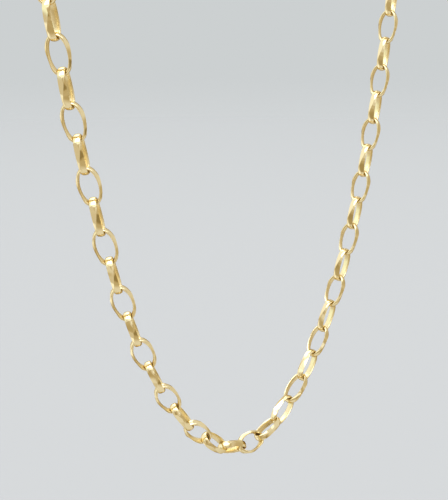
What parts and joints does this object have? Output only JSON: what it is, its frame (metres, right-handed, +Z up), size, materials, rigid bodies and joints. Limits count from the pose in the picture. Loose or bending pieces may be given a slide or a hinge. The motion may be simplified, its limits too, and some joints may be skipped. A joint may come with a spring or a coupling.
{
  "type": "oval belcher chain necklace",
  "caption": "Whole loop of light oval links of D-shaped wire, closed by a plain bolt ring, hanging as it does when worn or hung up.",
  "frame": {"origin": "the top of whatever the loop hangs on, under the middle of the loop's top arc", "axes": "+X across the loop, with the bolt ring's hook to the right, +Y through the loop to the back, +Z up"},
  "size_m": [0.0754, 0.0054, 0.1998],
  "materials": {
    "gold_links": "polished yellow gold with bright-cut sides",
    "gold_clasp": "polished yellow gold"
  },
  "bodies": {
    "root": {"chain_left": "gold_links", "chain_right": "gold_links", "clasp": "gold_clasp"}
  },
  "joints": []
}
